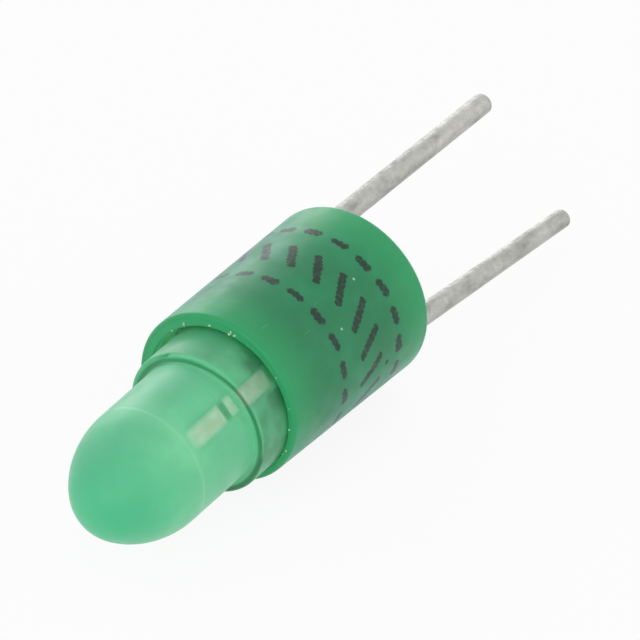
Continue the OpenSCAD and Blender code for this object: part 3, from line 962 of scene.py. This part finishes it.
class LAMP_OT_specks(bpy.types.Operator):
    """Scatters the dust that has gathered along the seam round the LED"""

    bl_idname = "lamp.specks"
    bl_label = "Seam dust"

    def execute(self, context):
        s = settings().sleeve
        # pale lint and moulding dust: light, matt
        material = plain_material("pale_dust", "#CBE6C4", "#93C79C", 0.03, 0.0, 0.7, 0.9)
        core = core_centre(s)
        inner = s.rear_radius - s.draft - s.rim_wall
        # a ribbon on the rim along the part of the seam that lies upwards
        level = s.length + 0.002 * MM
        turns = [math.radians(a) for a in range(-30, 141, 3)]
        rows = [
            [LYING @ (core + Vector((r * math.cos(a), r * math.sin(a), level))) for a in turns]
            for r in (inner + 0.02 * MM, inner + 0.09 * MM)
        ]
        count = len(turns)
        ribbon = bpy.data.meshes.new("seam_dust")
        faces = [(i, i + 1, count + i + 1, count + i) for i in range(count - 1)]
        ribbon.from_pydata([tuple(p) for row in rows for p in row], [], faces)
        density = {"Density": settings().studio.speck_density}
        piece = grown("seam_dust", ribbon, speck_tree(material), density)
        settle(piece, material, "housing")
        return {"FINISHED"}


class LAMP_OT_studio(bpy.types.Operator):
    """Sets the pale floor, the soft light and the camera"""

    bl_idname = "lamp.studio"
    bl_label = "Studio"

    def execute(self, context):
        studio = settings().studio
        scene = bpy.context.scene
        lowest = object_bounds()[0][2]
        half = studio.floor_size / 2
        mesh = bmesh.new()
        corners = [(-half, -half), (half, -half), (half, half), (-half, half)]
        mesh.faces.new([mesh.verts.new((x, y, lowest)) for x, y in corners])
        floor = finished("studio_floor", mesh)
        # matt white paper: a camera or a mirror sees it near white, and it keeps a soft shadow
        paper = new_material("studio_paper")
        tree = paper.node_tree
        whitened = 0.9
        matt = add(tree, "ShaderNodeBsdfDiffuse", Color=settings().colours.floor)
        glow = add(tree, "ShaderNodeEmission", Color=WHITE, Strength=1.0)
        share = add(tree, MATH, seen_ray(tree), whitened, operation="MULTIPLY")
        surface = add(tree, "ShaderNodeMixShader", share, matt, glow)
        add(tree, "ShaderNodeOutputMaterial", surface, out=None)
        floor.data.materials.append(paper)
        floor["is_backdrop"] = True

        world = bpy.data.worlds.new("studio_world")
        scene.world = world
        world.use_nodes = True
        tree = world.node_tree
        tree.nodes.clear()
        # a light tent: white all round, darker towards its opening. A camera, metal or glass sees plain white
        way = add(tree, "ShaderNodeTexCoord", out="Generated")
        opening = Vector((0.62, -0.15, 0.77)).normalized()
        towards = add(tree, "ShaderNodeVectorMath", way, opening, operation="DOT_PRODUCT", out="Value")
        shade = add(tree, MAP, towards, 0.35, 0.95, studio.world, studio.opening, **SMOOTH)
        sky = add(tree, "ShaderNodeBackground", Color=WHITE, Strength=shade)
        white = add(tree, "ShaderNodeBackground", Color=WHITE, Strength=1.0)
        surface = add(tree, "ShaderNodeMixShader", seen_ray(tree), sky, white)
        add(tree, "ShaderNodeOutputWorld", surface, out=None)

        # name, place, size and power of each soft box. All aim at the middle
        boxes = (
            ("front_box", (0.2, -0.5, 0.25), 0.8, 1.02),
            ("back_box", (-0.345, 0.35, 0.1), 0.25, 0.46),
            ("right_box", (0.45, 0.2, 0.12), 0.5, 0.2),
        )
        for name, place, size, power in boxes:
            lamp = bpy.data.lights.new(name, "AREA")
            lamp.shape = "SQUARE"
            lamp.size = size
            lamp.energy = power
            box = bpy.data.objects.new(name, lamp)
            box.location = place
            box.rotation_euler = (-Vector(place)).to_track_quat("-Z", "Y").to_euler()
            scene.collection.objects.link(box)

        camera = bpy.data.cameras.new("view")
        camera.lens = studio.focal
        camera.sensor_width = 36
        camera.clip_start = 0.01
        camera.clip_end = 10
        # it looks down on the dome's end, and its middle lies a little beside and above the rim's
        right, up = Vector((0.8321, 0.5546, 0)), Vector((-0.3008, 0.4514, 0.8401))
        back = right.cross(up)
        rim = Vector((0, -settings().sleeve.length, 0))
        eye = bpy.data.objects.new("view", camera)
        turned = Matrix((right, up, back)).transposed().to_4x4()
        at = rim + right * 2.133 * MM + up * 1.62 * MM + back * studio.view_distance
        eye.matrix_world = Matrix.Translation(at) @ turned
        scene.collection.objects.link(eye)
        scene.camera = eye
        scene.view_settings.view_transform = "Standard"
        return {"FINISHED"}


class LAMP_PT_panel(bpy.types.Panel):
    """The lamp's sizes, colours and pieces"""

    bl_idname = "LAMP_PT_panel"
    bl_label = "Bi-pin lamp"
    bl_space_type = "VIEW_3D"
    bl_region_type = "UI"
    bl_category = "Lamp"

    def draw(self, context):
        lamp = context.scene.lamp
        for group in (lamp.sleeve, lamp.led, lamp.pins, lamp.colours, lamp.studio):
            box = self.layout.box()
            for name in group.__annotations__:
                box.prop(group, name)
        for operator in OPERATORS:
            self.layout.operator(operator.bl_idname)


OPERATORS = (
    LAMP_OT_sleeve,
    LAMP_OT_lens,
    LAMP_OT_pins,
    LAMP_OT_inside,
    LAMP_OT_specks,
    LAMP_OT_studio,
)
GROUPS = (LampSleeve, LampLed, LampPins, LampColours, LampStudio, LampSettings)
CLASSES = GROUPS + OPERATORS + (LAMP_PT_panel,)


def register():
    for cls in CLASSES:
        bpy.utils.register_class(cls)
    bpy.types.Scene.lamp = PointerProperty(type=LampSettings)


def unregister():
    del bpy.types.Scene.lamp
    for cls in reversed(CLASSES):
        bpy.utils.unregister_class(cls)


def main():
    register()
    bpy.ops.lamp.sleeve()
    bpy.ops.lamp.lens()
    bpy.ops.lamp.pins()
    bpy.ops.lamp.inside()
    bpy.ops.lamp.specks()
    bpy.ops.lamp.studio()


if __name__ == "__main__":
    main()
